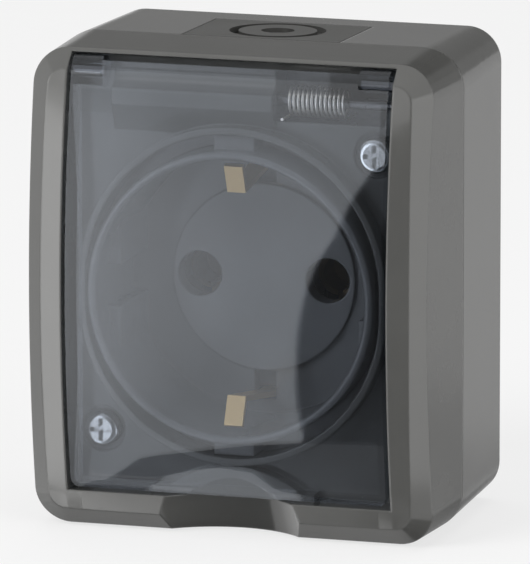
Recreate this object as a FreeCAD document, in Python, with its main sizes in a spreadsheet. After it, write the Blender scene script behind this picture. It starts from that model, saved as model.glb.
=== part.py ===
"""Surface-mounted weatherproof socket with a spring-closed see-through lid.

The origin is on the wall plane, on the axis of the plug well. X runs to the right, Z runs up, and the
front faces -Y. A depth is a distance from the wall plane towards the viewer, so depth d is Y = -d.
"""
import FreeCAD, Part
import math
import os

import Sketcher

from FreeCAD import Vector

# Dimensions in millimetres and degrees: name, value or formula, meaning.
SIZES = (
    ("wall", 2.0, "wall thickness of the mouldings"),
    ("part_clear", 0.15, "clearance between parts that lie side by side"),
    ("well_radius", 19.8, "inner radius of the plug well"),
    ("well_wall", 1.2, "wall of the plug well"),
    ("well_depth", 17.5, "depth of the plug well"),
    ("floor_thick", 2.5, "thickness of the well floor"),
    ("lip_round", 0.55, "rounding of the lip"),
    ("pole_half", 9.5, "pin hole centre from the well axis"),
    ("pole_radius", 3.25, "radius of the pin holes"),
    ("island_radius", 13.5, "radius of the raised middle of the well floor"),
    ("island_rise", 0.8, "rise of the middle of the well floor"),
    ("rib_height", 2.2, "guide ribs inward from the wall of the well"),
    ("rib_inner", "=well_radius - rib_height", "guide rib face from the well axis"),
    ("rib_start", 3.0, "near end of a guide rib from the pin line"),
    ("rib_end", 9.2, "far end of a guide rib from the pin line"),
    ("rib_drop", 5.0, "guide ribs below the lip"),
    ("block_width", 5.9, "width of the centring blocks"),
    ("block_sink", 1.2, "centring blocks below the rim of the collar"),
    ("collar_gap", 0.6, "gap between the plug well and the collar"),
    ("collar_wall", 1.0, "wall of the collar"),
    ("collar_radius", "=well_radius + well_wall + collar_gap + collar_wall", "outer arc of the collar"),
    ("oval_shift", 1.65, "half the straight part of the oval collar"),
    ("flange_overlap", 1.0, "flange of the plug well beyond the collar"),
    ("flange_radius", "=collar_radius + flange_overlap", "arc radius of the flange"),
    ("flange_thick", 2.0, "thickness of the flange"),
    ("insert_seal_thick", 0.5, "thickness of the seal under the flange"),
    ("seal_inset", 0.2, "edge of that seal inside the edge of the flange"),
    ("window_margin", 1.3, "collar to the side of the lid opening"),
    ("window_width", "=(collar_radius + window_margin) * 2", "width of the lid opening"),
    ("strip_width", 6.1, "width of the face strips beside the lid"),
    ("box_width", "=window_width + strip_width * 2", "outline width at the parting plane"),
    ("pocket_margin", 0.65, "bottom of the spring pocket above the collar"),
    ("pocket_foot", "=collar_radius + oval_shift + pocket_margin", "bottom of the spring pocket"),
    ("spring_lift", 2.8, "spring axis above the bottom of its pocket"),
    ("spring_height", "=pocket_foot + spring_lift", "spring axis above the well axis"),
    ("hinge_lift", 3.5, "hinge axis above the spring axis"),
    ("hinge_height", "=spring_height + hinge_lift", "hinge axis above the well axis"),
    ("crest_rise", 3.5, "top of the box above the hinge axis"),
    ("box_height", "=(hinge_height + crest_rise) * 2", "outline height at the parting plane"),
    ("sill_height", 5.8, "height of the face strip below the lid"),
    ("window_foot", "=box_height / 2 - sill_height", "lid opening below the well axis"),
    ("back_taper_side", 0.95, "taper of a side from the parting plane to the wall"),
    ("back_taper_up", 0.65, "taper of top and bottom from the parting plane to the wall"),
    ("nose_taper_side", 0.85, "taper of a side from the parting plane to the nose"),
    ("nose_taper_up", 0.65, "taper of top and bottom from the parting plane to the nose"),
    ("back_width", "=box_width - back_taper_side * 2", "outline width at the wall"),
    ("back_height", "=box_height - back_taper_up * 2", "outline height at the wall"),
    ("nose_width", "=box_width - nose_taper_side * 2", "outline width at the nose plane"),
    ("nose_height", "=box_height - nose_taper_up * 2", "outline height at the nose plane"),
    ("part_corner", 5.8, "corner radius at the parting plane"),
    ("back_corner", 5.0, "corner radius at the wall"),
    ("nose_corner", 4.8, "corner radius at the nose plane"),
    ("base_depth", 22.3, "wall to the parting plane"),
    ("front_rise", 10.3, "parting plane to the recessed plate"),
    ("plate_depth", "=base_depth + front_rise", "wall to the recessed plate"),
    ("plate_thick", 2.0, "thickness of the recessed plate"),
    ("lip_rise", 4.8, "lip of the plug well above the plate"),
    ("lip_depth", "=plate_depth + lip_rise", "wall to the lip of the plug well"),
    ("lid_room", 1.65, "lip of the plug well to the inside of the lid"),
    ("lid_thick", 1.3, "thickness of the lid"),
    ("face_depth", "=lip_depth + lid_room + lid_thick", "wall to the top of the crowned face"),
    ("crown_radius", 153.0, "radius of the crowned face"),
    ("crown_cover", 1.15, "front block above the crown before it is cut"),
    ("nose_depth", "=face_depth + crown_cover", "wall to the plane of the front outline"),
    ("face_skin", 5.4, "thickness of the front behind the top of the crown"),
    ("bevel_side", 2.05, "edge bevel measured across the face"),
    ("bevel_back", 2.6, "edge bevel measured down the side"),
    ("strip_fall", 0.12, "fall of the face strips per millimetre outward, at mid-height"),
    ("fade_height", 29.0, "height above and below the well axis where that fall ends"),
    ("parting_gap", 0.15, "shadow gap between the two housing halves"),
    ("seal_width", 1.0, "width of the housing gasket"),
    ("seal_step", 1.2, "depth of the gasket step"),
    ("seal_clear", 0.05, "play beside the housing gasket"),
    ("tub_wall", 1.8, "wall round the lid opening"),
    ("collar_rise", 3.4, "rim of the collar above the plate"),
    ("collar_depth", "=plate_depth + collar_rise", "wall to the rim of the collar"),
    ("lid_gap", 0.6, "gap round the lid"),
    ("lid_clear", 0.3, "rear edge of the lid in front of the collar"),
    ("lid_back", "=collar_depth + lid_clear", "wall to the rear edge of the lid"),
    ("lid_corner", 1.2, "corner radius of the lid"),
    ("lid_crest", 2.6, "top of the lid above the hinge axis"),
    ("hinge_rise", 2.3, "hinge axis above the plate"),
    ("hinge_depth", "=plate_depth + hinge_rise", "wall to the hinge axis"),
    ("knuckle_radius", 2.35, "radius of the lid knuckles"),
    ("knuckle_length", 4.4, "length of a lid knuckle"),
    ("knuckle_step", 0.05, "knuckle inside the rounding of the lid's top edge"),
    ("hinge_clear", 0.2, "radial clearance of the hinge channel"),
    ("pin_radius", 0.8, "radius of the hinge pins"),
    ("pin_clear", 0.05, "radial running clearance of the hinge pins"),
    ("pin_grip", 2.0, "hinge pin length held in the housing"),
    ("brow_rise", 2.65, "underside of the top wall's front lip above the hinge axis"),
    ("roof_rise", 1.3, "front edge of the top wall in front of the hinge axis"),
    ("roof_front", "=hinge_depth + roof_rise", "wall to the front edge of the top wall"),
    ("channel_sink", 1.0, "channel behind the hinge below the plate"),
    ("hinge_floor", "=plate_depth - channel_sink", "wall to the channel behind the hinge"),
    ("channel_drop", 3.1, "bottom of that channel below the hinge axis"),
    ("channel_slope", 3.3, "height of the slope below that channel"),
    ("ledge_left", 18.3, "left end of the hinge ledge from the well axis"),
    ("ledge_rise", 1.6, "hinge ledge above the plate"),
    ("ledge_drop", 4.7, "front edge of the ledge's slope below the hinge axis"),
    ("ledge_slope", 4.0, "height of the slope under the hinge ledge"),
    ("screw_angle", 43.47, "housing screw round from the side of the flange"),
    ("screw_shank", 1.5, "radius of the housing screw shank"),
    ("screw_head", 2.6, "radius of the housing screw head"),
    ("screw_length", 12.0, "housing screw beyond its boss"),
    ("pilot_length", 14.0, "length of the pilot hole for a housing screw"),
    ("head_rise", 1.5, "height of the housing screw head"),
    ("screw_sink", 0.9, "depth of the recess round a screw head"),
    ("head_clear", 0.7, "recess round a screw head"),
    ("hole_clear", 0.2, "screw hole round its shank"),
    ("thread_clear", 0.05, "thread or seal round a shank"),
    ("washer_thick", 0.5, "thickness of the seal under a screw head"),
    ("pillar_radius", 3.5, "radius of the screw pillars"),
    ("pillar_clear", 0.73, "flange to screw pillar"),
    ("screw_reach", "=flange_radius + pillar_radius + pillar_clear", "flange centre to housing screw"),
    ("screw_across", "=screw_reach * cos(screw_angle)", "housing screw from the well axis, across"),
    ("screw_up", "=oval_shift + screw_reach * sin(screw_angle)", "housing screw from the pin line"),
    ("boss_rise", 1.9, "rear end of the screw bosses in front of the parting plane"),
    ("boss_foot", "=base_depth + boss_rise", "wall to the rear end of the screw bosses"),
    ("spring_sink", 1.6, "spring axis below the plate"),
    ("spring_depth", "=plate_depth - spring_sink", "wall to the spring axis"),
    ("coil_radius", 2.05, "mean radius of the spring coil"),
    ("wire_radius", 0.21, "radius of the spring wire"),
    ("coil_pitch", 0.655, "pitch of the spring coil"),
    ("coil_count", 13.0, "turns of the spring coil"),
    ("coil_start", 7.1, "left end of the coil from the well axis"),
    ("arbor_radius", 0.8, "radius of the spring arbor"),
    ("coil_room", 1.7, "left side of the spring pocket to the coil"),
    ("pocket_left", "=coil_start - coil_room", "left side of the spring pocket"),
    ("pocket_inset", 2.4, "right side of the spring pocket to the side of the lid opening"),
    ("pocket_right", "=window_width / 2 - pocket_inset", "right side of the spring pocket"),
    ("pocket_sink", 3.6, "floor of the spring pocket below the spring axis"),
    ("pocket_lift", 0.9, "top of the spring pocket above the hinge axis"),
    ("pocket_floor", "=spring_depth - pocket_sink", "wall to the floor of the spring pocket"),
    ("pocket_wall", 1.0, "wall of the spring pocket"),
    ("scoop_radius", 14.0, "radius of the finger scoop"),
    ("scoop_tilt", 30.4, "lean of the finger scoop in degrees"),
    ("scoop_sink", 2.2, "scoop at the bottom edge, below the plate"),
    ("scoop_floor", "=plate_depth - scoop_sink", "wall to the scoop at the bottom edge"),
    ("dome_radius", 16.2, "radius of the arched wall above the scoop"),
    ("dome_height", 4.3, "arched wall above the foot of the lid opening"),
    ("dome_top", "=window_foot - dome_height", "top of the arched wall below the well axis"),
    ("dome_rise", 2.4, "rim of the arched wall above the plate"),
    ("dome_depth", "=plate_depth + dome_rise", "wall to the rim of the arched wall"),
    ("entry_half", 11.7, "half width of the cable entry plate"),
    ("entry_inset", 8.4, "parting plane back to the centre of the cable entry"),
    ("entry_centre", "=base_depth - entry_inset", "wall to the centre of the cable entry"),
    ("entry_reach", 7.9, "centre of the cable entry to the rear edge of its plate"),
    ("entry_back", "=entry_centre - entry_reach", "wall to the rear edge of the cable entry plate"),
    ("entry_gap", 0.15, "gap round the cable entry plate"),
    ("moat_radius", 6.9, "outer radius of the knock-out groove"),
    ("moat_width", 1.3, "width of the knock-out groove"),
    ("disc_radius", "=moat_radius - moat_width", "radius of the knock-out disc"),
    ("moat_sink", 1.0, "depth of the knock-out groove"),
    ("dimple_radius", 2.4, "radius of the centring dimple"),
    ("strap_width", 2.7, "width of the earth strap"),
    ("strap_thick", 0.8, "thickness of the earth strap"),
    ("strap_inset", 2.2, "earth strap leg inward from the wall of the well"),
    ("strap_clear", 0.25, "slots round the earth strap"),
    ("clip_room", 1.0, "slot in the well floor inward of a clip"),
    ("strap_out", "=well_radius - strap_inset", "earth strap leg from the well axis"),
    ("clip_drop", 2.1, "earth clips below the lip"),
    ("clip_rake", 1.7, "depth of a clip's lead-in slope"),
    ("clip_bow", 3.0, "clip inward from the strap leg"),
    ("clip_flare", 1.0, "tip of a clip outward from the strap leg"),
    ("core_half_width", 16.0, "half width of the contact base"),
    ("core_edge", 0.9, "contact base beyond the strap legs"),
    ("sleeve_clear", 0.4, "contact base round the sleeves and terminals"),
    ("core_half_height", "=strap_out + core_edge", "half height of the contact base"),
    ("sleeve_radius", 3.3, "outer radius of a contact sleeve"),
    ("sleeve_wall", 0.8, "wall of a contact sleeve"),
    ("sleeve_sink", 3.0, "front of a contact sleeve behind the well floor"),
    ("terminal_half", 3.2, "half width of a terminal"),
    ("terminal_inset", 3.0, "terminal above the lower edge of the contact base"),
    ("terminal_height", 7.0, "height of a terminal"),
    ("terminal_sink", 2.2, "front of a terminal behind the well floor"),
    ("terminal_front", "=lip_depth - well_depth - floor_thick - terminal_sink", "wall to its front"),
    ("terminal_length", 6.6, "front of a terminal to its rear end"),
    ("sleeve_back", "=terminal_front - terminal_length", "wall to the rear end of a contact sleeve"),
    ("core_floor", 2.4, "contact base behind the sleeves"),
    ("core_back", "=sleeve_back - core_floor", "wall to the rear of the contact base"),
    ("wire_hole", 1.5, "radius of the wire holes"),
    ("terminal_shank", 1.45, "radius of a terminal screw"),
    ("terminal_head", 2.4, "radius of a terminal screw head"),
    ("terminal_crest", 1.4, "height of a terminal screw head"),
    ("lug_inset", 7.7, "end of the contact base lugs to the outside of the box"),
    ("lug_reach", "=box_height / 2 - lug_inset", "end of the lugs from the well axis"),
    ("lug_half", 3.6, "half width of the contact base lugs"),
    ("lug_hole", "=lug_reach - lug_half", "insert screw from the well axis"),
    ("lug_front", 11.0, "wall to the front of the contact base lugs"),
    ("lug_thick", 3.0, "thickness of the contact base lugs"),
    ("post_radius", 3.2, "radius of the posts under the lugs"),
    ("post_floor", 0.5, "tip of an insert screw in front of the back wall"),
    ("fixing_inset", 7.6, "wall fixing hole to the side of the box"),
    ("fixing_half", "=box_width / 2 - fixing_inset", "wall fixing hole from the well axis"),
    ("fixing_radius", 2.2, "radius of the wall fixing holes"),
)

XY, XZ, YZ = "XY_Plane", "XZ_Plane", "YZ_Plane"

doc = FreeCAD.newDocument("weatherproof_socket")
sheet = doc.addObject("Spreadsheet::Sheet", "Sizes")


class Size:
    """A number together with the expression on the sheet that gives it."""

    def __init__(self, value, text=None):
        self.value = float(value)
        self.text = text or repr(float(value))

    def joined(self, sign, other, value):
        return Size(value, f"({self.text} {sign} {other.text})")

    def __add__(self, other):
        other = as_size(other)
        return self.joined("+", other, self.value + other.value)

    def __sub__(self, other):
        other = as_size(other)
        return self.joined("-", other, self.value - other.value)

    def __mul__(self, other):
        other = as_size(other)
        return self.joined("*", other, self.value * other.value)

    def __truediv__(self, other):
        other = as_size(other)
        return self.joined("/", other, self.value / other.value)

    def __neg__(self):
        return Size(-self.value, f"(0 - {self.text})")

    def root(self):
        return Size(math.sqrt(self.value), f"sqrt({self.text})")

    def cosine(self):
        """The cosine of a size in degrees."""
        return Size(math.cos(math.radians(self.value)), f"cos({self.text})")


def as_size(number):
    return number if isinstance(number, Size) else Size(number)


class Table:
    """The driving dimensions by name."""


S = Table()
for row, (name, value, meaning) in enumerate(SIZES, start=1):
    sheet.set(f"A{row}", name)
    sheet.set(f"B{row}", str(value))
    sheet.set(f"C{row}", meaning)
    sheet.setAlias(f"B{row}", name)
doc.recompute()
for name, value, meaning in SIZES:
    setattr(S, name, Size(sheet.get(name), f"Sizes.{name}"))

ZERO = Size(0.0)
MERGE = Size(0.4)
BEYOND = Size(5.0)


def bind(obj, prop, size):
    """Tie one property of an object to the sheet."""
    obj.setExpression(prop, as_size(size).text)


def body(name):
    made = doc.addObject("PartDesign::Body", name)
    made.Label = name
    return made


def sketch(owner, name, plane, offset=ZERO, tilt=None):
    """An empty sketch on an origin plane; on XZ the offset is a depth."""
    made = owner.newObject("Sketcher::SketchObject", name)
    base = [f for f in owner.Origin.OriginFeatures if f.Role == plane][0]
    made.AttachmentSupport = [(base, "")]
    made.MapMode = "FlatFace"
    bind(made, "AttachmentOffset.Base.z", offset)
    if tilt:
        made.AttachmentOffset = FreeCAD.Placement(Vector(0, 0, 0),
                                                  FreeCAD.Rotation(Vector(1, 0, 0), tilt.value))
        bind(made, "AttachmentOffset.Rotation.Angle", tilt)
    return made


def pin_point(target, geometry, point, place):
    """Hold one sketch point at a place given by two sizes."""
    for kind, size in zip(("DistanceX", "DistanceY"), place):
        size = as_size(size)
        index = target.addConstraint(Sketcher.Constraint(kind, -1, 1, geometry, point, size.value))
        target.setExpression(f"Constraints[{index}]", size.text)


def outline(target, corners, arcs=None):
    """A closed outline through the corners. arcs maps a side's index to (radius, +1 or -1):
    the sign tells on which side of the travel the arc's centre lies, +1 for the left."""
    arcs = arcs or {}
    corners = [(as_size(x), as_size(y)) for x, y in corners]
    count = len(corners)
    points = [Vector(x.value, y.value, 0) for x, y in corners]
    start_end = []
    for side in range(count):
        start, end = points[side], points[(side + 1) % count]
        if side not in arcs:
            target.addGeometry(Part.LineSegment(start, end), False)
            start_end.append((1, 2))
            continue
        radius, turn = arcs[side]
        middle = (start + end) * 0.5
        half = (end - start) * 0.5
        left = Vector(-half.y, half.x, 0).normalize()
        reach = math.sqrt(max(radius.value ** 2 - half.Length ** 2, 0.0))
        centre = middle + left * (reach * turn)
        angles = [math.atan2(p.y - centre.y, p.x - centre.x) for p in (start, end)]
        circle = Part.Circle(centre, Vector(0, 0, 1), radius.value)
        first, last = angles if turn > 0 else angles[::-1]
        target.addGeometry(Part.ArcOfCircle(circle, first, last), False)
        start_end.append((1, 2) if turn > 0 else (2, 1))
    for side in range(count):
        after = (side + 1) % count
        target.addConstraint(Sketcher.Constraint("Coincident", side, start_end[side][1],
                                                 after, start_end[after][0]))
    for side, (radius, turn) in arcs.items():
        index = target.addConstraint(Sketcher.Constraint("Radius", side, radius.value))
        target.setExpression(f"Constraints[{index}]", radius.text)
    for side in range(count):
        pin_point(target, side, start_end[side][0], corners[side])


def rectangle(target, left, right, low, high):
    outline(target, [(left, low), (right, low), (right, high), (left, high)])


def rounded(target, width, height, radius):
    """A rectangle with rounded corners, centred on the origin."""
    right, top = width / 2, height / 2
    inner_x, inner_y = right - radius, top - radius
    corners = [(-inner_x, -top), (inner_x, -top), (right, -inner_y), (right, inner_y),
               (inner_x, top), (-inner_x, top), (-right, inner_y), (-right, -inner_y)]
    outline(target, corners, {side: (radius, 1) for side in (1, 3, 5, 7)})


def oval(target, radius, shift):
    """Two half circles joined by short upright sides."""
    corners = [(-radius, -shift), (ZERO, -shift - radius), (radius, -shift),
               (radius, shift), (ZERO, shift + radius), (-radius, shift)]
    outline(target, corners, {side: (radius, 1) for side in (0, 1, 3, 4)})


def circle(target, across, up, radius):
    index = target.addGeometry(Part.Circle(Vector(as_size(across).value, as_size(up).value, 0),
                                           Vector(0, 0, 1), radius.value), False)
    pin_point(target, index, 3, (across, up))
    index = target.addConstraint(Sketcher.Constraint("Radius", index, radius.value))
    target.setExpression(f"Constraints[{index}]", radius.text)


def feature(owner, kind, name, profile, length=None, symmetric=False, backwards=False):
    """A pad or pocket of a sketch; a pocket with no length goes right through."""
    made = owner.newObject(f"PartDesign::{kind}", name)
    made.Profile = profile
    if symmetric:
        made.SideType = "Symmetric"
    made.Reversed = backwards
    if length is None:
        made.Type = "ThroughAll"
    else:
        bind(made, "Length", length)
    return made


def pad_between(owner, name, draw, back, front):
    """Material between two depths, with its outline drawn by draw(sketch)."""
    profile = sketch(owner, name + "_sketch", XZ, back)
    draw(profile)
    return feature(owner, "Pad", name, profile, front - back)


def pocket_between(owner, name, draw, back, front):
    """A hollow between two depths, with its outline drawn by draw(sketch)."""
    profile = sketch(owner, name + "_sketch", XZ, front)
    draw(profile)
    return feature(owner, "Pocket", name, profile, front - back)


def across(owner, kind, name, draw, width):
    """A side profile, Y to the right and Z up, taken across the width about the middle."""
    profile = sketch(owner, name + "_sketch", YZ)
    draw(profile)
    return feature(owner, kind, name, profile, width, symmetric=True)


def loft(owner, kind, name, sections):
    """A drafted block through rounded rectangles given as (depth, width, height, corner)."""
    drawn = []
    for index, (depth, width, height, corner) in enumerate(sections):
        section = sketch(owner, f"{name}_section_{index}", XZ, depth)
        rounded(section, width, height, corner)
        drawn.append(section)
    made = owner.newObject(f"PartDesign::{kind}", name)
    made.Profile = drawn[0]
    made.Sections = drawn[1:]
    made.Ruled = True
    return made


def chamfer(owner, name, base, faces, across_face, down_side):
    made = owner.newObject("PartDesign::Chamfer", name)
    made.Base = (base, faces)
    made.ChamferType = "Two distances"
    bind(made, "Size", across_face)
    bind(made, "Size2", down_side)
    return made


def fillet(owner, name, base, edges, radius):
    made = owner.newObject("PartDesign::Fillet", name)
    made.Base = (base, edges)
    bind(made, "Radius", radius)
    return made


def in_order(one, other):
    """Two sizes with the smaller one first."""
    return (one, other) if one.value < other.value else (other, one)


def named(shape, kind, test):
    """Names of the faces or edges of a shape that pass a test."""
    items = shape.Faces if kind == "Face" else shape.Edges
    return [f"{kind}{i}" for i, item in enumerate(items, start=1) if test(item)]


# Places that several sub-parts share.
half_window = S.window_width / 2
half_lid = half_window - S.lid_gap
lid_foot = S.window_foot - S.lid_gap
plate_rear = S.plate_depth - S.plate_thick
well_floor = S.lip_depth - S.well_depth
floor_rear = well_floor - S.floor_thick
well_outer = S.well_radius + S.well_wall
front_foot = S.base_depth + S.parting_gap
collar_inner = S.collar_radius - S.collar_wall
flange_front = plate_rear - S.insert_seal_thick
axis_y = -S.hinge_depth
axis_z = S.hinge_height
channel_radius = S.knuckle_radius + S.hinge_clear
SCREWS = ((1, 1), (-1, -1))


def crown_arc(target, apex, radius, reach, far):
    """The region in front of an arc whose highest point has the depth apex, out to the depth far."""
    edge = -(apex - (radius - (radius * radius - reach * reach).root()))
    outline(target, [(edge, -reach), (edge, reach), (-far, reach), (-far, -reach)], {0: (radius, -1)})


def front_form(owner):
    """The drafted front block with its crowned face and bevelled edge."""
    loft(owner, "AdditiveLoft", "front_block", (
        (front_foot, S.box_width, S.box_height, S.part_corner),
        (S.nose_depth, S.nose_width, S.nose_height, S.nose_corner)))
    reach = S.box_height * 0.6
    crown = across(owner, "Pocket", "crown", lambda s: crown_arc(s, S.face_depth, S.crown_radius, reach,
                                                                 S.nose_depth + BEYOND), S.box_width * 2)
    doc.recompute()
    faces = named(crown.Shape, "Face", lambda f: abs(f.CenterOfMass.y + S.face_depth.value) < 2.5
                  and f.Area > 1000)
    chamfer(owner, "bevel", crown, faces, S.bevel_side, S.bevel_back)
    for side in (1, -1):
        fall_away(owner, side)


def fall_away(owner, side):
    """Lets a face strip fall outward from the lid opening, most at mid-height."""
    reach = S.box_height * 0.6
    height = S.fade_height
    sag = S.crown_radius - (S.crown_radius * S.crown_radius - height * height).root()
    drawn = []
    for number, out in enumerate((Size(-2.0), S.strip_width + 2.0)):
        fall = S.strip_fall * out
        left = sag - fall
        radius = (height * height + left * left) / (left * 2)
        section = sketch(owner, f"fall_section_{side + 1}_{number}", YZ, (half_window + out) * side)
        crown_arc(section, S.face_depth - fall, radius, reach, S.nose_depth + BEYOND)
        drawn.append(section)
    made = owner.newObject("PartDesign::SubtractiveLoft", f"strip_fall_{side + 1}")
    made.Profile = drawn[0]
    made.Sections = drawn[1:]
    made.Ruled = True


def make_front_housing():
    made = body("front_housing")
    front_form(made)
    wall = S.wall
    loft(made, "SubtractiveLoft", "hollow", (
        (front_foot, S.box_width - wall * 2, S.box_height - wall * 2, S.part_corner - wall),
        (S.face_depth - S.face_skin, S.nose_width - wall * 2, S.nose_height - wall * 2,
         S.nose_corner - wall)))
    rim = half_window + S.tub_wall
    behind = S.face_depth - S.face_skin + MERGE
    pad_between(made, "tub", lambda s: rectangle(s, -rim, rim, -S.window_foot - S.tub_wall,
                                                 S.nose_height / 2 - wall / 2), plate_rear, behind)

    def window(target):
        brow = S.hinge_height + S.brow_rise
        low = S.hinge_height - S.channel_drop
        outline(target, [(-S.plate_depth, -S.window_foot), (-S.plate_depth, low - S.channel_slope),
                         (-S.hinge_floor, low), (-S.hinge_floor, S.hinge_height + 1),
                         (-S.hinge_depth, S.hinge_height + 1), (-S.hinge_depth, brow),
                         (-S.roof_front, brow), (-S.roof_front, S.box_height),
                         (-S.nose_depth - BEYOND, S.box_height), (-S.nose_depth - BEYOND, -S.window_foot)])
    across(made, "Pocket", "window", window, S.window_width)
    hinge_ledge(made)
    across(made, "Pocket", "hinge_channel", lambda s: circle(s, axis_y, axis_z, channel_radius),
           S.window_width)
    across(made, "Pocket", "hinge_holes", lambda s: circle(s, axis_y, axis_z, S.pin_radius),
           S.window_width + S.pin_grip * 2)
    pad_between(made, "collar", lambda s: oval(s, S.collar_radius, S.oval_shift),
                plate_rear, S.collar_depth)
    pocket_between(made, "collar_hole", lambda s: oval(s, collar_inner, S.oval_shift),
                   plate_rear - BEYOND, S.collar_depth + 1)
    pad_between(made, "dome", draw_dome, plate_rear, S.dome_depth)
    backing = S.scoop_radius - 2
    pad_between(made, "scoop_backing", lambda s: rectangle(s, -backing, backing,
                                                           -S.nose_height / 2 + wall / 2,
                                                           -S.window_foot + wall / 2),
                S.scoop_floor - wall * 0.8, behind)
    scoop = sketch(made, "scoop_sketch", XY, -S.nose_height / 2, S.scoop_tilt)
    circle(scoop, ZERO, ZERO, S.scoop_radius)
    bind(scoop, "AttachmentOffset.Base.y", -S.scoop_floor - S.scoop_radius / S.scoop_tilt.cosine())
    feature(made, "Pocket", "scoop", scoop, S.nose_height / 2 * 0.9, symmetric=True)
    for number, (side, up) in enumerate(SCREWS):
        x, z = S.screw_across * side, S.screw_up * up
        pad_between(made, f"boss_{number}", lambda s: circle(s, x, z, S.pillar_radius),
                    S.boss_foot, plate_rear + MERGE)
        pocket_between(made, f"head_recess_{number}", lambda s: circle(s, x, z, S.screw_head + S.head_clear),
                       S.plate_depth - S.screw_sink, S.plate_depth)
        pocket_between(made, f"screw_hole_{number}", lambda s: circle(s, x, z, S.screw_shank + S.hole_clear),
                       S.boss_foot - 1, S.plate_depth)
    skin = S.pocket_wall
    pad_between(made, "spring_box", lambda s: rectangle(s, S.pocket_left - skin, S.pocket_right + skin,
                                                        S.pocket_foot - skin, S.hinge_height + 2),
                S.pocket_floor - skin, plate_rear + MERGE)
    pocket_between(made, "spring_pocket", lambda s: rectangle(s, S.pocket_left, S.pocket_right,
                                                              S.pocket_foot, S.hinge_height + S.pocket_lift),
                   S.pocket_floor, S.plate_depth + 1)
    arbor = sketch(made, "arbor_sketch", YZ, S.pocket_left - skin)
    circle(arbor, -S.spring_depth, S.spring_height, S.arbor_radius)
    feature(made, "Pocket", "arbor_holes", arbor, S.pocket_right - S.pocket_left + skin * 2, backwards=True)
    return made


def hinge_ledge(owner):
    """The ledge under the hinge, from beside the left knuckle to the spring pocket."""
    front = -S.plate_depth - S.ledge_rise
    edge = S.hinge_height - S.ledge_drop
    profile = sketch(owner, "ledge_sketch", YZ, -S.ledge_left)
    outline(profile, [(-S.hinge_floor, edge - S.ledge_slope), (-S.plate_depth, edge - S.ledge_slope),
                      (front, edge), (front, S.hinge_height), (-S.hinge_floor, S.hinge_height)])
    feature(owner, "Pad", "hinge_ledge", profile, S.pocket_left + S.ledge_left)


def draw_dome(target):
    """The arched wall that closes the finger scoop off from the inside of the lid."""
    centre = -S.dome_top - S.dome_radius
    foot = -S.window_foot - S.wall / 2
    half = (S.dome_radius * S.dome_radius - (foot - centre) * (foot - centre)).root()
    outline(target, [(half, foot), (-half, foot)], {0: (S.dome_radius, 1)})


def make_rear_box():
    made = body("rear_box")
    wall = S.wall
    loft(made, "AdditiveLoft", "shell", (
        (ZERO, S.back_width, S.back_height, S.back_corner),
        (S.base_depth, S.box_width, S.box_height, S.part_corner)))
    loft(made, "SubtractiveLoft", "hollow", (
        (wall, S.back_width - wall * 2, S.back_height - wall * 2, S.back_corner - wall),
        (S.base_depth, S.box_width - wall * 2, S.box_height - wall * 2, S.part_corner - wall)))
    step = wall - S.seal_width
    pocket_between(made, "gasket_step", lambda s: rounded(s, S.box_width - step * 2,
                                                          S.box_height - step * 2, S.part_corner - step),
                   S.base_depth - S.seal_step, S.base_depth)
    for number, (side, up) in enumerate(SCREWS):
        x, z = S.screw_across * side, S.screw_up * up
        pad_between(made, f"pillar_{number}", lambda s: circle(s, x, z, S.pillar_radius),
                    wall / 2, S.boss_foot)
        pocket_between(made, f"pilot_{number}", lambda s: circle(s, x, z, S.screw_shank),
                       S.boss_foot - S.pilot_length, S.boss_foot)
    for up in (1, -1):
        z = S.lug_hole * up
        pad_between(made, f"post_{up + 1}", lambda s: circle(s, ZERO, z, S.post_radius),
                    wall / 2, S.lug_front - S.lug_thick)
        pocket_between(made, f"post_hole_{up + 1}", lambda s: circle(s, ZERO, z, S.screw_shank),
                       wall, S.lug_front - S.lug_thick)
        x = S.fixing_half * up
        pocket_between(made, f"fixing_{up + 1}", lambda s: circle(s, x, ZERO, S.fixing_radius),
                       -wall, wall * 2)
    entry = sketch(made, "entry_sketch", XY, S.box_height)
    rectangle(entry, -S.entry_half, S.entry_half, -S.base_depth - 1, -S.entry_back)
    feature(made, "Pocket", "entry", entry, S.box_height - S.back_height / 2 + wall * 2)
    return made


def roof_height(depth):
    """Height of the drafted top wall of the rear box at a depth."""
    return S.back_height / 2 + (S.box_height - S.back_height) / 2 * (depth / S.base_depth)


def make_cable_entry_plate():
    made = body("cable_entry_plate")
    back = S.entry_back + S.entry_gap

    step, rim = S.base_depth - S.seal_step, S.wall - S.seal_width

    def side(target):
        outline(target, [(-back, roof_height(back)), (-back, roof_height(back) - S.wall),
                         (-step, roof_height(step) - S.wall), (-step, roof_height(step) - rim),
                         (-S.base_depth, roof_height(S.base_depth) - rim),
                         (-S.base_depth, roof_height(S.base_depth))])
    across(made, "Pad", "plate", side, (S.entry_half - S.entry_gap) * 2)
    moat = sketch(made, "moat_sketch", XY, S.box_height)
    circle(moat, ZERO, -S.entry_centre, S.moat_radius)
    circle(moat, ZERO, -S.entry_centre, S.disc_radius)
    feature(made, "Pocket", "moat", moat, S.box_height - roof_height(S.entry_centre) + S.moat_sink)
    dimple = sketch(made, "dimple_sketch", XY, S.box_height)
    circle(dimple, ZERO, -S.entry_centre, S.dimple_radius)
    feature(made, "Pocket", "dimple", dimple, S.box_height - roof_height(S.entry_centre) + S.moat_sink * 0.7)
    return made


def make_housing_gasket():
    made = body("housing_gasket")
    step = S.wall - S.seal_width
    play = S.seal_clear * 2
    back = S.base_depth - S.seal_step

    def ring(target):
        rounded(target, S.box_width - step * 2 - play, S.box_height - step * 2 - play, S.part_corner - step)
    pad_between(made, "ring", ring, back, front_foot)
    inner = S.wall * 2 + play
    pocket_between(made, "opening", lambda s: rounded(s, S.box_width - inner, S.box_height - inner,
                                                      S.part_corner - S.wall), back - 1, front_foot + 1)
    return made


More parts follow.
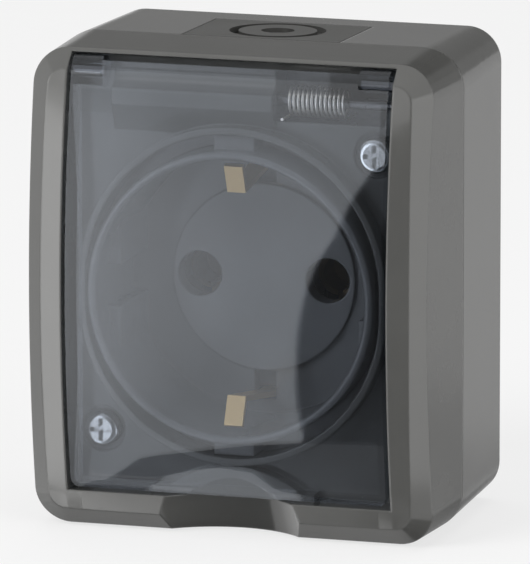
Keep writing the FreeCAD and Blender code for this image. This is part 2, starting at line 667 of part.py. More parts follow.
def clear_of_spring(made, back, front):
    """Cuts a flat ring back from the housing's spring pocket."""
    near = S.pocket_left - S.pocket_wall - S.part_clear
    foot = S.pocket_foot - S.pocket_wall - S.part_clear
    pocket_between(made, "spring_notch", lambda s: rectangle(s, near, S.pocket_right, foot, S.hinge_height),
                   back, front)


def make_socket_well():
    made = body("socket_well")
    pad_between(made, "drum", lambda s: circle(s, ZERO, ZERO, well_outer), floor_rear, S.lip_depth)
    pad_between(made, "flange", lambda s: oval(s, S.flange_radius, S.oval_shift),
                flange_front - S.flange_thick, flange_front)
    clear_of_spring(made, flange_front - S.flange_thick, flange_front)
    pocket_between(made, "well", lambda s: circle(s, ZERO, ZERO, S.well_radius), well_floor, S.lip_depth)
    pad_between(made, "island", lambda s: circle(s, ZERO, ZERO, S.island_radius), well_floor - 1,
                well_floor + S.island_rise)

    def ribs(target, side, up):
        outer = S.well_radius + S.well_wall / 2
        outline(target, [(S.rib_inner * side, S.rib_start * up), (outer * side, S.rib_start * up),
                         ((S.well_radius - S.well_wall * 0.75) * side, (S.rib_end - S.well_wall / 2) * up),
                         (S.rib_inner * side, S.rib_end * up)])
    for side in (1, -1):
        for up in (1, -1):
            pad_between(made, f"rib_{side + 1}_{up + 1}", lambda s: ribs(s, side, up),
                        well_floor - 1, S.lip_depth - S.rib_drop)
    for side in (1, -1):
        x = S.pole_half * side
        pocket_between(made, f"pin_hole_{side + 1}", lambda s: circle(s, x, ZERO, S.pole_radius),
                       floor_rear - 1, S.lip_depth)
    slot = S.strap_width / 2 + S.strap_clear
    for up in (1, -1):
        low, high = in_order((S.strap_out - S.clip_bow - S.clip_room) * up,
                             (S.strap_out + S.strap_clear) * up)
        pocket_between(made, f"clip_slot_{up + 1}", lambda s: rectangle(s, -slot, slot, low, high),
                       floor_rear - 1, S.lip_depth)
        low, high = in_order((well_outer - S.well_wall / 2) * up,
                             (collar_inner + S.oval_shift - S.part_clear * 2) * up)
        half = S.block_width / 2
        pad_between(made, f"block_{up + 1}", lambda s: rectangle(s, -half, half, low, high),
                    flange_front - 1, S.collar_depth - S.block_sink)
    doc.recompute()
    base = made.Tip
    edges = named(base.Shape, "Edge", lambda e: e.BoundBox.YMax < -S.lip_depth.value + 0.01)
    fillet(made, "lip", base, edges, S.lip_round)
    return made


def make_insert_seal():
    made = body("insert_seal")
    pad_between(made, "ring", lambda s: oval(s, S.flange_radius - S.seal_inset, S.oval_shift),
                flange_front, plate_rear)
    pocket_between(made, "opening", lambda s: oval(s, collar_inner + S.seal_inset, S.oval_shift),
                   flange_front - 1, plate_rear + 1)
    clear_of_spring(made, flange_front, plate_rear)
    return made


def make_contact_base():
    made = body("contact_base")
    half = S.core_half_width
    tall = S.core_half_height
    pad_between(made, "block", lambda s: rectangle(s, -half, half, -tall, tall), S.core_back, floor_rear)
    reach = S.lug_reach
    pad_between(made, "lugs", lambda s: rectangle(s, -S.lug_half, S.lug_half, -reach, reach),
                S.lug_front - S.lug_thick, S.lug_front)
    room = S.terminal_half + S.sleeve_clear
    for side in (1, -1):
        x = S.pole_half * side
        left, right = x - room, x + room
        pocket_between(made, f"sleeve_hole_{side + 1}",
                       lambda s: circle(s, x, ZERO, S.sleeve_radius + S.sleeve_clear),
                       S.sleeve_back - S.sleeve_clear, floor_rear)
        pocket_between(made, f"terminal_pocket_{side + 1}", lambda s: rectangle(
            s, left, right, -tall - 1, -S.sleeve_radius / 2), S.sleeve_back - S.sleeve_clear, floor_rear)
    slot = S.strap_width / 2 + S.strap_clear
    out = S.strap_out + S.strap_clear
    pocket_between(made, "strap_channel", lambda s: rectangle(s, -slot, slot, -out, out),
                   S.core_back - 1, S.core_back + S.strap_thick + S.strap_clear)
    for up in (1, -1):
        low, high = in_order((S.strap_out - S.strap_thick - S.strap_clear) * up, out * up)
        pocket_between(made, f"strap_slot_{up + 1}", lambda s: rectangle(s, -slot, slot, low, high),
                       S.core_back - 1, floor_rear)
        z = S.lug_hole * up
        pocket_between(made, f"lug_hole_{up + 1}", lambda s: circle(s, ZERO, z, S.screw_shank + S.hole_clear),
                       S.lug_front - S.lug_thick - 1, S.lug_front)
    return made


def make_contact(name, side):
    """A split brass sleeve with its terminal block, on one side of the well axis."""
    made = body(name)
    x = S.pole_half * side
    front = floor_rear - S.sleeve_sink
    low = -S.core_half_height + S.terminal_inset
    high = low + S.terminal_height
    middle = low + S.terminal_height / 2
    back, strip = S.sleeve_back, S.terminal_half * 0.56
    pad_between(made, "sleeve", lambda s: circle(s, x, ZERO, S.sleeve_radius), back, front)
    pad_between(made, "terminal", lambda s: rectangle(s, x - S.terminal_half, x + S.terminal_half, low, high),
                back, S.terminal_front)
    pad_between(made, "strip", lambda s: rectangle(s, x - strip, x + strip, high - MERGE, -S.sleeve_radius
                                                   + S.sleeve_wall), back, back + S.sleeve_wall)
    pocket_between(made, "bore", lambda s: circle(s, x, ZERO, S.sleeve_radius - S.sleeve_wall),
                   back + S.sleeve_wall, front)
    slit = S.sleeve_wall / 2
    pocket_between(made, "split", lambda s: rectangle(s, x - slit, x + slit, -S.sleeve_radius - 1,
                                                      S.sleeve_radius + 1), back + S.sleeve_wall * 3, front)
    seat = back + S.wire_hole * 2
    wire = sketch(made, "wire_sketch", XY, low - 1)
    circle(wire, x, -seat, S.wire_hole)
    feature(made, "Pocket", "wire_hole", wire, S.terminal_height, backwards=True)
    pocket_between(made, "screw_hole", lambda s: circle(s, x, middle, S.terminal_shank + S.thread_clear),
                   seat, S.terminal_front)
    return made


def make_earth_strap():
    """One strip folded into a U whose ends bow into the well and flare out at the tips."""
    made = body("earth_strap")
    thick, out, back = S.strap_thick, S.strap_out, S.core_back
    nose = S.lip_depth - S.clip_drop
    knee = nose - S.clip_rake
    bend = well_floor - S.floor_thick / 2
    tip, bow = out + S.clip_flare, out - S.clip_bow
    rise, rake = tip - bow, S.clip_rake
    slant = (rise * rise + rake * rake).root()
    knee_back = knee - thick * (slant - rake) / rise
    nose_back = nose - thick * rise / slant
    tip_back = tip + thick * rake / slant

    def half(up):
        """Outer edge then inner edge of one leg, from the middle outwards."""
        outer = [(-back, out * up), (-bend, out * up), (-knee_back, (bow + thick) * up),
                 (-nose_back, tip_back * up)]
        within = [(-nose, tip * up), (-knee, bow * up),
                  (-bend, (out - thick) * up), (-back - thick, (out - thick) * up)]
        return outer, within
    top_outer, top_inner = half(1)
    low_outer, low_inner = half(-1)
    corners = top_outer + top_inner + low_inner[::-1] + low_outer[::-1]
    across(made, "Pad", "strip", lambda s: outline(s, corners), S.strap_width)
    return made


def screw(name, x, z, foot, seat, shank, head, rise, slots):
    """A pan-head screw along Y with its tip at the depth foot and its head on the depth seat."""
    made = body(name)
    pad_between(made, "shank", lambda s: circle(s, x, z, shank), foot, seat + rise * 0.1)
    pad_between(made, "head", lambda s: circle(s, x, z, head), seat, seat + rise)
    doc.recompute()
    base = made.Tip
    crest = -(seat + rise).value
    edges = named(base.Shape, "Edge", lambda e: abs(e.BoundBox.YMax - crest) < 0.01)
    fillet(made, "pan", base, edges, rise * 0.62)
    arm, half = head * 0.62, head * 0.13
    for number in range(slots):
        reach = (arm, half) if number == 0 else (half, arm)
        pocket_between(made, f"slot_{number}", lambda s: rectangle(
            s, x - reach[0], x + reach[0], z - reach[1], z + reach[1]), seat + rise * 0.3, seat + rise)
    return made


def make_housing_screws():
    for name, (side, up) in zip(("upper_housing_screw", "lower_housing_screw"), SCREWS):
        screw(name, S.screw_across * side, S.screw_up * up, S.boss_foot - S.screw_length,
              S.plate_depth - S.screw_sink + S.washer_thick, S.screw_shank - S.thread_clear,
              S.screw_head, S.head_rise, 2)


def make_screw_seals():
    for name, (side, up) in zip(("upper_screw_seal", "lower_screw_seal"), SCREWS):
        made = body(name)
        x, z = S.screw_across * side, S.screw_up * up
        floor = S.plate_depth - S.screw_sink
        pad_between(made, "ring", lambda s: circle(s, x, z, S.screw_head), floor, floor + S.washer_thick)
        pocket_between(made, "hole", lambda s: circle(s, x, z, S.screw_shank + S.thread_clear),
                       floor - 1, floor + 1)


def make_insert_screws():
    for name, up in (("upper_insert_screw", 1), ("lower_insert_screw", -1)):
        screw(name, ZERO, S.lug_hole * up, S.wall + S.post_floor, S.lug_front,
              S.screw_shank - S.thread_clear, S.screw_head, S.head_rise, 1)


def make_terminal_screws():
    middle = -S.core_half_height + S.terminal_inset + S.terminal_height / 2
    for name, side in (("line_terminal_screw", -1), ("neutral_terminal_screw", 1)):
        screw(name, S.pole_half * side, middle, S.sleeve_back + S.wire_hole * 2 + S.sleeve_clear,
              S.terminal_front, S.terminal_shank, S.terminal_head, S.terminal_crest, 1)


def make_hinge_pins():
    tip = half_window + S.pin_grip
    length = S.pin_grip + S.lid_gap + S.knuckle_length
    for name, side in (("left_hinge_pin", -1), ("right_hinge_pin", 1)):
        made = body(name)
        profile = sketch(made, "pin_sketch", YZ, tip * side)
        circle(profile, axis_y, axis_z, S.pin_radius)
        feature(made, "Pad", "pin", profile, length, backwards=side > 0)


def make_spring_arbor():
    made = body("spring_arbor")
    profile = sketch(made, "arbor_sketch", YZ, S.pocket_left - S.pocket_wall)
    circle(profile, -S.spring_depth, S.spring_height, S.arbor_radius)
    feature(made, "Pad", "arbor", profile, S.pocket_right - S.pocket_left + S.pocket_wall * 2)
    return made


def make_lid_spring():
    """A close coil on the arbor, swept along a helix, with two straight legs."""
    helix = doc.addObject("Part::Helix", "coil_path")
    bind(helix, "Pitch", S.coil_pitch)
    bind(helix, "Height", S.coil_pitch * S.coil_count)
    bind(helix, "Radius", S.coil_radius)
    wire = doc.addObject("Part::Circle", "coil_wire")
    bind(wire, "Radius", S.wire_radius)
    bind(wire, "Placement.Base.x", S.coil_radius)
    wire.Placement.Rotation = FreeCAD.Rotation(Vector(1, 0, 0), 90)
    coil = doc.addObject("Part::Sweep", "coil")
    coil.Sections = [wire]
    coil.Spine = (helix, ["Edge1"])
    coil.Solid = True
    coil.Frenet = True
    legs = []
    for number in (0, 1):
        leg = doc.addObject("Part::Cylinder", f"leg_{number}")
        bind(leg, "Radius", S.wire_radius)
        bind(leg, "Height", S.coil_radius * (1.7 if number else 1.9))
        leg.Placement.Rotation = FreeCAD.Rotation(Vector(1, 0, 0), 90 if number == 0 else -90)
        bind(leg, "Placement.Base.x", S.coil_radius)
        bind(leg, "Placement.Base.z", S.coil_pitch * S.coil_count * number)
        legs.append(leg)
    made = doc.addObject("Part::MultiFuse", "lid_spring")
    made.Label = "lid_spring"
    made.Shapes = [coil] + legs
    made.Placement.Rotation = FreeCAD.Rotation(Vector(0, 1, 0), 90)
    bind(made, "Placement.Base.x", S.coil_start)
    bind(made, "Placement.Base.y", -S.spring_depth)
    bind(made, "Placement.Base.z", S.spring_height)
    return made


def make_lid():
    made = body("lid")
    radius = S.lid_corner
    top = S.hinge_height + S.lid_crest
    left, right, low = -half_lid, half_lid, -lid_foot

    def slab(target):
        outline(target, [(left + radius, low), (right - radius, low), (right, low + radius),
                         (right, top - radius), (right - radius, top), (left + radius, top),
                         (left, top - radius), (left, low + radius)],
                {side: (radius, 1) for side in (1, 3, 5, 7)})
    pad_between(made, "slab", slab, S.lid_back, S.nose_depth)
    reach = S.box_height * 0.6
    across(made, "Pocket", "crown", lambda s: crown_arc(s, S.face_depth, S.crown_radius, reach,
                                                        S.nose_depth + BEYOND), S.box_width * 2)

    def hollow(target):
        """Everything behind the lid's skin, up to the hinge line."""
        radius_in = S.crown_radius - S.lid_thick
        apex = S.face_depth - S.lid_thick
        foot, head = -lid_foot + S.lid_thick, S.hinge_height + S.lid_thick / 2

        def skin(height):
            return -(apex - (radius_in - (radius_in * radius_in - height * height).root()))
        outline(target, [(skin(foot), foot), (-S.lid_back + 2, foot), (-S.lid_back + 2, head),
                         (skin(head), head)], {3: (radius_in, 1)})
    across(made, "Pocket", "hollow", hollow, (half_lid - S.lid_thick) * 2)
    for side in (-1, 1):
        profile = sketch(made, f"knuckle_sketch_{side + 1}", YZ, half_lid * side)
        circle(profile, axis_y, axis_z, S.knuckle_radius - S.knuckle_step)
        feature(made, "Pad", f"knuckle_{side + 1}", profile, S.knuckle_length, backwards=side > 0)

    def shoulder(target):
        """Trims the head of the lid to a bevel in front and to the knuckle circle above and behind."""
        far, high = S.nose_depth + BEYOND, S.box_height
        bevel_y, bevel_z = S.knuckle_radius * 0.553, S.knuckle_radius * 0.833
        back = axis_y + S.knuckle_radius
        outline(target, [(back, axis_z), (axis_y - bevel_y, axis_z + bevel_z),
                         (axis_y - 2.72, axis_z - 0.53), (-far, axis_z - 0.53), (-far, high),
                         (-S.base_depth, high), (-S.base_depth, axis_z)], {0: (S.knuckle_radius, 1)})
    across(made, "Pocket", "shoulder", shoulder, S.box_width)
    across(made, "Pocket", "pin_holes", lambda s: circle(s, axis_y, axis_z, S.pin_radius + S.pin_clear),
           S.box_width)
    return made


def check_and_write():
    """Stops on any failed object, then writes each sub-part."""
    os.makedirs("parts", exist_ok=True)
    failed = [obj.Name for obj in doc.Objects if {"Invalid", "Error"} & set(obj.State)]
    if failed:
        raise SystemExit(f"not built: {failed}")
    for obj in doc.Objects:
        if obj.TypeId == "PartDesign::Body" or obj.Label == "lid_spring":
            if obj.Shape.isNull() or not obj.Shape.isValid() or len(obj.Shape.Solids) != 1:
                raise SystemExit(f"{obj.Label}: bad shape, {len(obj.Shape.Solids)} solids")
            obj.Shape.exportStep(f"parts/{obj.Label}.step")
            print(obj.Label, round(obj.Shape.Volume, 1))


make_rear_box()
make_cable_entry_plate()
make_housing_gasket()
make_front_housing()
make_socket_well()
make_insert_seal()
make_contact_base()
make_contact("line_contact", -1)
make_contact("neutral_contact", 1)
make_earth_strap()
make_terminal_screws()
make_insert_screws()
make_housing_screws()
make_screw_seals()
make_hinge_pins()
make_spring_arbor()
make_lid_spring()
make_lid()
doc.recompute()
check_and_write()
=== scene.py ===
import bpy
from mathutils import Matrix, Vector


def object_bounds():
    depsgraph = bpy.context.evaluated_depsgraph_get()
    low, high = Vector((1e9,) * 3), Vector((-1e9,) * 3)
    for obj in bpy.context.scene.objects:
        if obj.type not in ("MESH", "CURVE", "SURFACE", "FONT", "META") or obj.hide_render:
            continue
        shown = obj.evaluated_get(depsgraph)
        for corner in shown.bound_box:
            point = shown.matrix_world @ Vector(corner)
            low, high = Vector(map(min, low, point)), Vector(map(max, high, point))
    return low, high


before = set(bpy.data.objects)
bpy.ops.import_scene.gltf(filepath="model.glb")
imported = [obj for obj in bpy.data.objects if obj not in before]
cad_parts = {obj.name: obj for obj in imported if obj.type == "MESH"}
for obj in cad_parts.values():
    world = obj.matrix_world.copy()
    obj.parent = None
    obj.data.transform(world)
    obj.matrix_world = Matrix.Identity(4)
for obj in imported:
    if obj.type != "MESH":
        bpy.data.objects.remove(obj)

cad_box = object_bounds()

WHITE = (1.0, 1.0, 1.0, 1.0)


# Node helpers

def feed(tree, target, value):
    """Links a node's output to the input, or else sets the input's own value."""
    if isinstance(value, bpy.types.NodeSocket):
        tree.links.new(value, target)
    else:
        target.default_value = value


def node(tree, kind, inputs=None, **properties):
    """Adds a node, sets its properties and feeds the named inputs."""
    made = tree.nodes.new(kind)
    for key, value in properties.items():
        setattr(made, key, value)
    for key, value in (inputs or {}).items():
        feed(tree, made.inputs[key], value)
    return made


def maths(tree, operation, *values, kind="ShaderNodeMath"):
    made = node(tree, kind, operation=operation)
    for target, value in zip(made.inputs, values):
        feed(tree, target, value)
    return made.outputs[0]


def spread(tree, value, low, high, start=0.3, stop=0.7):
    """Maps the range from start to stop onto low to high."""
    ramp = node(tree, "ShaderNodeMapRange", {
        "Value": value, "From Min": start, "From Max": stop, "To Min": low, "To Max": high})
    return ramp.outputs["Result"]


def between(tree, factor, first, second):
    """A colour that goes from the first to the second with the factor."""
    mix = node(tree, "ShaderNodeMix", {"Factor": factor}, data_type="RGBA")
    colours = {kept.name: kept for kept in mix.inputs if kept.type == "RGBA"}
    feed(tree, colours["A"], first)
    feed(tree, colours["B"], second)
    return next(kept for kept in mix.outputs if kept.type == "RGBA")


def mix_shaders(tree, factor, first, second):
    return node(tree, "ShaderNodeMixShader", {0: factor, 1: first, 2: second}).outputs[0]


def output(tree, shader, kind="ShaderNodeOutputMaterial"):
    node(tree, kind, {"Surface": shader})


def object_place(tree):
    """The place on the piece in metres, which turns with it."""
    return node(tree, "ShaderNodeTexCoord").outputs["Object"]


def split(tree, place):
    return node(tree, "ShaderNodeSeparateXYZ", {0: place}).outputs


NOISE_ROUGHNESS = 0.55


def object_noise(tree, scale, detail):
    noise = node(tree, "ShaderNodeTexNoise", {
        "Vector": object_place(tree), "Scale": scale, "Detail": detail, "Roughness": NOISE_ROUGHNESS})
    return noise.outputs["Fac"]


def inside(tree, low, high):
    """One inside the box from low to high, in metres, and zero outside it."""
    centre = [(a + b) / 2 for a, b in zip(low, high)]
    half = [(b - a) / 2 for a, b in zip(low, high)]
    away = maths(tree, "SUBTRACT", object_place(tree), centre, kind="ShaderNodeVectorMath")
    away = maths(tree, "ABSOLUTE", away, kind="ShaderNodeVectorMath")
    beyond = maths(tree, "SUBTRACT", away, half, kind="ShaderNodeVectorMath")
    x, y, z = split(tree, beyond)
    furthest = maths(tree, "MAXIMUM", maths(tree, "MAXIMUM", x, y), z)
    return maths(tree, "LESS_THAN", furthest, 0.0)


def new_material(name):
    made = bpy.data.materials.new(name)
    made.use_nodes = True
    made.node_tree.nodes.clear()
    return made, made.node_tree


def shade(colour, factor):
    return tuple(part * factor for part in colour[:3]) + (1.0,)


# Materials of the part, with lengths in metres and noise scales per metre

BLOTCH_SCALE = 90.0
GRAIN_DEPTH = 0.00001
SOFT_EDGE = 0.0004
SOFT_EDGE_SAMPLES = 6
# Painted shade: a box around the front housing's spring pocket, low and high corners in metres, where the
# colour is darkened to the share below.
PAINTED_SHADE_BOX = ((0.0050, -0.0322, 0.0245), (0.0219, -0.0200, 0.0325))
PAINTED_SHADE_SHARE = 0.3
HAZE_SCALE = 40.0
HAZE_VARY = 0.03
LID_SHINE = (0.93, 0.96, 1.0, 1.0)
SHINE_HEAD_ON = 0.05
SHINE_POWER = 5.0


def bumps(tree, height, strength, soft_edge):
    """The grain's bumps, on edges that are rounded by soft_edge."""
    bump = node(tree, "ShaderNodeBump", {"Height": height, "Strength": strength, "Distance": GRAIN_DEPTH})
    if soft_edge:
        bevel = node(tree, "ShaderNodeBevel", {"Radius": soft_edge}, samples=SOFT_EDGE_SAMPLES)
        feed(tree, bump.inputs["Normal"], bevel.outputs["Normal"])
    return bump.outputs["Normal"]


def surface(name, colour, rough, vary=0.06, rough_vary=0.05, metallic=0.0, ior=1.48,
            grain=1800.0, strength=0.12, soft_edge=0.0, painted_shade_box=None):
    """A solid finish with faint blotches in its colour, a fine grain and a changing gloss, and painted
    shade inside the box if one is given.
    """
    made, tree = new_material(name)
    blotches = object_noise(tree, BLOTCH_SCALE, detail=4.0)
    fine = object_noise(tree, grain, detail=2.0)
    tone = between(tree, spread(tree, blotches, 0.0, 1.0), shade(colour, 1 - vary), shade(colour, 1 + vary))
    # Painted shade: inside the box the colour is darkened to a share of itself.
    if painted_shade_box:
        tone = between(tree, inside(tree, *painted_shade_box), tone, shade(colour, PAINTED_SHADE_SHARE))
    shader = node(tree, "ShaderNodeBsdfPrincipled", {
        "Base Color": tone,
        "Metallic": metallic,
        "IOR": ior,
        "Roughness": spread(tree, blotches, rough - rough_vary, rough + rough_vary),
        "Normal": bumps(tree, fine, strength, soft_edge),
    })
    output(tree, shader.outputs["BSDF"])
    return made


def smoked_glass(name, tint, gloss):
    """Smoked clear plastic that lets the lamps through, a little unevenly coloured."""
    made, tree = new_material(name)
    haze = spread(tree, object_noise(tree, HAZE_SCALE, detail=2.0), 0.0, 1.0)
    clear = node(tree, "ShaderNodeBsdfTransparent", {
        "Color": between(tree, haze, shade(tint, 1 - HAZE_VARY), shade(tint, 1 + HAZE_VARY))})
    shine = node(tree, "ShaderNodeBsdfGlossy", {"Color": LID_SHINE, "Roughness": gloss})
    edge = node(tree, "ShaderNodeLayerWeight", {"Blend": 0.5})
    steep = maths(tree, "POWER", edge.outputs["Facing"], SHINE_POWER)
    share = spread(tree, steep, SHINE_HEAD_ON, 1.0, start=0.0, stop=1.0)
    output(tree, mix_shaders(tree, share, clear.outputs["BSDF"], shine.outputs["BSDF"]))
    return made


HOUSING = (0.088, 0.088, 0.084)
housing = surface("grey_housing_plastic", HOUSING, 0.11, rough_vary=0.02, ior=1.56, soft_edge=SOFT_EDGE)
# The front housing is the same plastic, with painted shade darkening its spring pocket.
front = surface("grey_front_plastic_painted_shade", HOUSING, 0.11, rough_vary=0.02, ior=1.56, soft_edge=SOFT_EDGE,
                painted_shade_box=PAINTED_SHADE_BOX)
entry = surface("entry_plate_plastic", shade(HOUSING, 0.62), 0.3, rough_vary=0.03)
insert = surface("dark_insert_plastic", (0.07, 0.071, 0.072), 0.3)
well = surface("well_plastic", (0.160, 0.163, 0.165), 0.2, ior=1.53, soft_edge=SOFT_EDGE)
rubber = surface("black_rubber", (0.022, 0.022, 0.022), 0.62, grain=900.0, strength=0.3, ior=1.45)
brass = surface("contact_brass", (0.94, 0.67, 0.33), 0.34, vary=0.05, metallic=1.0, strength=0.06)
dull_brass = surface("sleeve_brass", (0.26, 0.20, 0.12), 0.45, vary=0.08, metallic=1.0, strength=0.06)
zinc = surface("bright_zinc", (0.64, 0.65, 0.65), 0.22, vary=0.04, metallic=1.0, grain=700.0, strength=0.18)
steel = surface("spring_steel", (0.88, 0.84, 0.78), 0.30, vary=0.04, metallic=1.0, strength=0.05)
dark_steel = surface("dark_steel", (0.13, 0.13, 0.135), 0.26, metallic=1.0, strength=0.05)
smoked = smoked_glass("smoked_lid_plastic", (0.74, 0.76, 0.79), 0.015)

FINISH = {
    "rear_box": housing, "cable_entry_plate": entry, "front_housing": front,
    "housing_gasket": rubber, "insert_seal": rubber,
    "upper_screw_seal": rubber, "lower_screw_seal": rubber,
    "socket_well": well, "contact_base": insert,
    "line_contact": dull_brass, "neutral_contact": dull_brass, "earth_strap": brass,
    "line_terminal_screw": zinc, "neutral_terminal_screw": zinc,
    "upper_insert_screw": zinc, "lower_insert_screw": zinc,
    "upper_housing_screw": zinc, "lower_housing_screw": zinc,
    "left_hinge_pin": dark_steel, "right_hinge_pin": dark_steel, "spring_arbor": dark_steel,
    "lid_spring": steel,
    "lid": smoked,
}
for name, finish in FINISH.items():
    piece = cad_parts[name]
    if not piece.material_slots:
        piece.data.materials.append(None)
    for slot in piece.material_slots:
        slot.material = finish


# Floor

FLOOR_HALF = 6.0
FLOOR_SCALE = 3.0
FLOOR_TONES = ((0.80, 0.80, 0.80, 1.0), (0.82, 0.82, 0.82, 1.0))
FLOOR_WHITE_SHARE = 0.72


def sheet(name, corners):
    """A flat sheet of the studio through the given corners."""
    mesh = bpy.data.meshes.new(name)
    mesh.from_pydata(corners, [], [list(range(len(corners)))])
    made = bpy.data.objects.new(name, mesh)
    bpy.context.scene.collection.objects.link(made)
    return made


def level(z, half_width, near, far):
    """Corners of a sheet that lies level at height z."""
    return [(-half_width, near, z), (half_width, near, z), (half_width, far, z), (-half_width, far, z)]


def pale_floor():
    """Nearly white to the camera, and it still takes the object's shadow."""
    made, tree = new_material("pale_floor")
    cloud = spread(tree, object_noise(tree, FLOOR_SCALE, detail=3.0), 0.0, 1.0)
    pale = node(tree, "ShaderNodeBsdfDiffuse", {"Color": between(tree, cloud, *FLOOR_TONES)})
    white = node(tree, "ShaderNodeEmission", {"Strength": 1.0})
    rays = node(tree, "ShaderNodeLightPath")
    share = maths(tree, "MULTIPLY", rays.outputs["Is Camera Ray"], FLOOR_WHITE_SHARE)
    output(tree, mix_shaders(tree, share, pale.outputs["BSDF"], white.outputs["Emission"]))
    made.cycles.emission_sampling = "NONE"
    return made


floor = sheet("floor", level(cad_box[0][2], FLOOR_HALF, -FLOOR_HALF, FLOOR_HALF))
floor.visible_glossy = False
floor.data.materials.append(pale_floor())


# Studio cards, which only show as reflections in gloss

FRONT_Y = -0.84
FRONT_FOOT, FRONT_HEAD = -0.76, 0.45
# The right edge of the big softbox, as x and z, which bows away towards the bottom.
FRONT_EDGE = ((-0.150, FRONT_HEAD), (-0.150, 0.20), (-0.163, 0.127), (-0.205, 0.100), (-0.214, 0.076),
              (-0.218, 0.022), (-0.222, -0.043), (-0.228, -0.100), (-0.234, -0.173), (-0.242, -0.269),
              (-0.256, -0.416), (-0.271, -0.523), (-0.288, -0.628), (-0.310, FRONT_FOOT))
# Left of this the softbox is brighter.
FRONT_SPLIT = -0.34
# The glow in its dimmer part: the strength at one place, its fall for each metre to the right,
# and its fall for each square metre up or down.
GLOW_X, GLOW_Z = -0.282, -0.07
GLOW_STRENGTH = 2.5
GLOW_FALL_X = 24.0
GLOW_FALL_Z = 10.0
# A small flag near the softbox's foot, as x and z, which leaves the lower edge of the lid clear.
LOW_FLAG = ((-0.337, -0.587), (-0.326, -0.557), (-0.317, -0.533), (-0.308, -0.507), (-0.303, -0.491),
            (-0.298, -0.482), (-0.287, -0.467), (-0.273, -0.448), (-0.257, -0.432), (-0.220, -0.420),
            (-0.220, -0.587), (-0.274, -0.552), (-0.275, -0.545), (-0.277, -0.528), (-0.278, -0.505),
            (-0.285, -0.500), (-0.292, -0.507), (-0.302, -0.523), (-0.311, -0.557), (-0.318, -0.587))
FLAG_GAP = 0.03
LOW_FLAG_GAP = 0.01

SIDE_X = 0.9
BACK_Y = 1.2
BACK_LEFT, BACK_SPLIT, BACK_RIGHT = -2.0, -0.47, 1.6
TABLE_LEFT, TABLE_HEAD = -0.6, 0.05
BACK_HEAD = 1.6
# The pale table behind and the darker room over it: strength, left, right, foot and head.
BACK_CARDS = {
    "back_table": (0.62, TABLE_LEFT, BACK_RIGHT, -0.29, TABLE_HEAD),
    "back_table_near": (0.45, TABLE_LEFT, BACK_RIGHT, -0.42, -0.29),
    "back_table_edge": (0.26, TABLE_LEFT, BACK_RIGHT, -1.2, -0.42),
    "back_left_glow": (0.55, BACK_LEFT, BACK_SPLIT, TABLE_HEAD, 0.25),
    "back_low_dim": (0.28, BACK_SPLIT, BACK_RIGHT, TABLE_HEAD, 0.28),
    "back_dim": (0.2, BACK_SPLIT, BACK_RIGHT, 0.28, 0.45),
    "back_left_dim": (0.2, BACK_LEFT, BACK_SPLIT, 0.25, BACK_HEAD),
    "back_dark": (0.03, BACK_SPLIT, BACK_RIGHT, 0.45, BACK_HEAD),
}
UNDER_Z = -1.0
UNDER_HALF = 1.2
UNDER_SPLIT = 0.05


def across(y, left, right, foot, head):
    """Corners of a sheet that stands across the view at depth y."""
    return [(left, y, foot), (right, y, foot), (right, y, head), (left, y, head)]


def beside(x, near, far, foot, head):
    """Corners of a sheet that stands beside the object at x."""
    return [(x, near, foot), (x, far, foot), (x, far, head), (x, near, head)]


def glow(tree, least):
    """A card's strength that falls off around the glow's place, down to the least."""
    x, _, z = split(tree, object_place(tree))
    fading = maths(tree, "MULTIPLY_ADD", x, -GLOW_FALL_X, GLOW_STRENGTH + GLOW_FALL_X * GLOW_X)
    height = maths(tree, "SUBTRACT", z, GLOW_Z)
    square = maths(tree, "MULTIPLY", height, height)
    return maths(tree, "MAXIMUM", maths(tree, "MULTIPLY_ADD", square, -GLOW_FALL_Z, fading), least)


def card(name, strength, corners, glows=False):
    made = sheet(name, corners)
    finish, tree = new_material(name)
    light = node(tree, "ShaderNodeEmission", {"Strength": glow(tree, strength) if glows else strength})
    output(tree, light.outputs["Emission"])
    finish.cycles.emission_sampling = "NONE"
    made.data.materials.append(finish)
    for kind in ("camera", "diffuse", "transmission", "shadow", "volume_scatter"):
        setattr(made, f"visible_{kind}", False)


# The big softbox in front and to the left, and the unlit studio beside it.
card("front_card", 1.55,
     [(x, FRONT_Y, z) for x, z in FRONT_EDGE]
     + [(FRONT_SPLIT, FRONT_Y, FRONT_FOOT), (FRONT_SPLIT, FRONT_Y, FRONT_HEAD)], glows=True)
card("front_card_core", 4.6, across(FRONT_Y, -0.95, FRONT_SPLIT, FRONT_FOOT, FRONT_HEAD))
card("front_flag", 0.12, across(FRONT_Y - FLAG_GAP, -0.36, 1.1, -0.9, 0.7))
card("low_flag", 0.35, [(x, FRONT_Y + LOW_FLAG_GAP, z) for x, z in LOW_FLAG])
# Softboxes at the sides for the bevels, the room behind for the flanks, and the shade underneath.
card("right_card", 2.2, beside(SIDE_X, -0.7, 0.5, -0.5, 0.5))
card("left_card", 1.3, beside(-SIDE_X, -0.1, 0.9, -0.5, 0.6))
for name, (strength, *edges) in BACK_CARDS.items():
    card(name, strength, across(BACK_Y, *edges))
card("under_flag", 0.05, level(UNDER_Z, UNDER_HALF, -0.45, UNDER_SPLIT))
card("under_table", 0.85, level(UNDER_Z, UNDER_HALF, UNDER_SPLIT, 0.9))


# Lamps, which light the object but don't show in its gloss: place, side in metres and power in watts

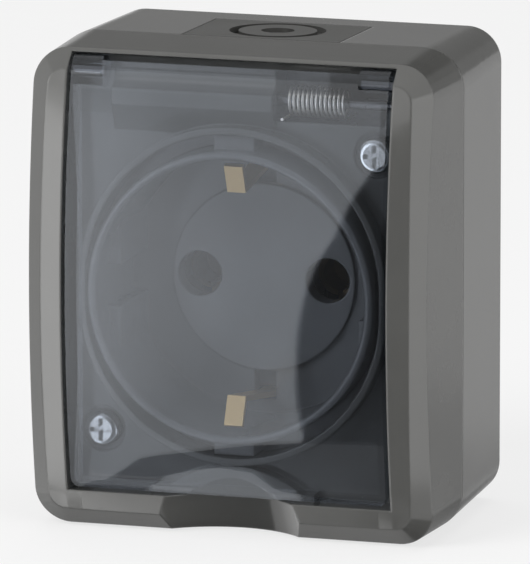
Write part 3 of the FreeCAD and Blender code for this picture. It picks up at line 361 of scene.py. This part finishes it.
LAMP_TARGET = Vector((0.0, -0.02, 0.0))
LAMPS = {
    "key": ((-0.7, -1.1, 0.9), 0.9, 15.6),
    "fill": ((1.1, -0.7, 0.5), 0.9, 8.8),
    "top": ((0.0, 0.3, 1.3), 1.2, 7.5),
}


def lamp(name, place, side, power):
    data = bpy.data.lights.new(name, "AREA")
    data.shape = "SQUARE"
    data.size = side
    data.energy = power
    made = bpy.data.objects.new(name, data)
    made.location = place
    made.rotation_euler = (LAMP_TARGET - Vector(place)).to_track_quat("-Z", "Y").to_euler()
    bpy.context.scene.collection.objects.link(made)
    made.visible_camera = False
    made.visible_glossy = False


for name, settings in LAMPS.items():
    lamp(name, *settings)


# World, which shows as white and lights only a little

WORLD_LIGHT = 0.16


def background(tree, strength):
    return node(tree, "ShaderNodeBackground", {"Color": WHITE, "Strength": strength}).outputs[0]


def studio_world():
    made = bpy.data.worlds.new("studio")
    made.use_nodes = True
    tree = made.node_tree
    tree.nodes.clear()
    rays = node(tree, "ShaderNodeLightPath").outputs
    through = maths(tree, "MAXIMUM", rays["Is Camera Ray"], rays["Is Transmission Ray"])
    seen = maths(tree, "MAXIMUM", through, rays["Is Glossy Ray"])
    shown = mix_shaders(tree, seen, background(tree, WORLD_LIGHT), background(tree, 1.0))
    output(tree, shown, kind="ShaderNodeOutputWorld")
    return made


bpy.context.scene.world = studio_world()
bpy.context.scene.view_settings.view_transform = "Standard"


# Camera, fitted to the photo's frame of 530 by 564 pixels

FOCAL_PIXELS = 10680.0
FRAME_PIXELS = 564.0
SENSOR_MM = 36.0
CAMERA_PLACE = (0.44146, -1.44184, 0.29719)
CAMERA_SIDE = Vector((0.29077, -0.93644, 0.19629))
CLIP_NEAR, CLIP_FAR = 0.05, 30.0

lens = bpy.data.cameras.new("camera")
lens.sensor_width = SENSOR_MM
lens.lens = FOCAL_PIXELS * SENSOR_MM / FRAME_PIXELS
lens.clip_start = CLIP_NEAR
lens.clip_end = CLIP_FAR
camera = bpy.data.objects.new("camera", lens)
camera.location = CAMERA_PLACE
camera.rotation_euler = (-CAMERA_SIDE).to_track_quat("-Z", "Y").to_euler()
bpy.context.scene.collection.objects.link(camera)
bpy.context.scene.camera = camera
